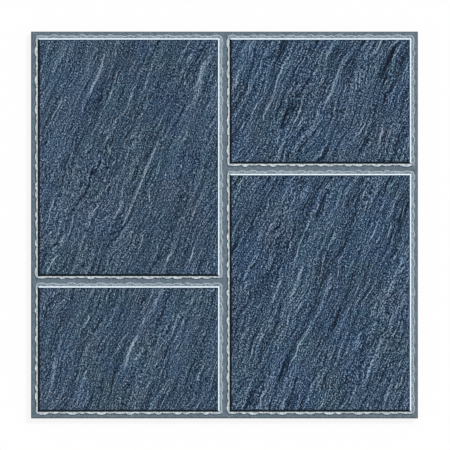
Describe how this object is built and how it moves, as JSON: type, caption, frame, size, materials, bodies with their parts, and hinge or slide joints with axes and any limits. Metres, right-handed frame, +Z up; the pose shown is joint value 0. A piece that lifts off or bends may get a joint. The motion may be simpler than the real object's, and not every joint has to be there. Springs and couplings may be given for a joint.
{
  "type": "garden paving tile",
  "caption": "Square pressed ceramic paving tile, its face moulded as riven slate slabs with sunken, scallop-edged joints, for outdoor floors and paths.",
  "frame": {"origin": "centre of the flat bedding side, on the plane that the tile is laid on", "axes": "+Z up, out of the slab faces; +Y along the slabs, towards the short slab of the right column; +X across the two columns of slabs"},
  "size_m": [0.4, 0.4, 0.012],
  "materials": {
    "slate_effect_ceramic": "matte"
  },
  "bodies": {
    "root": {"tile": "slate_effect_ceramic"}
  },
  "joints": []
}
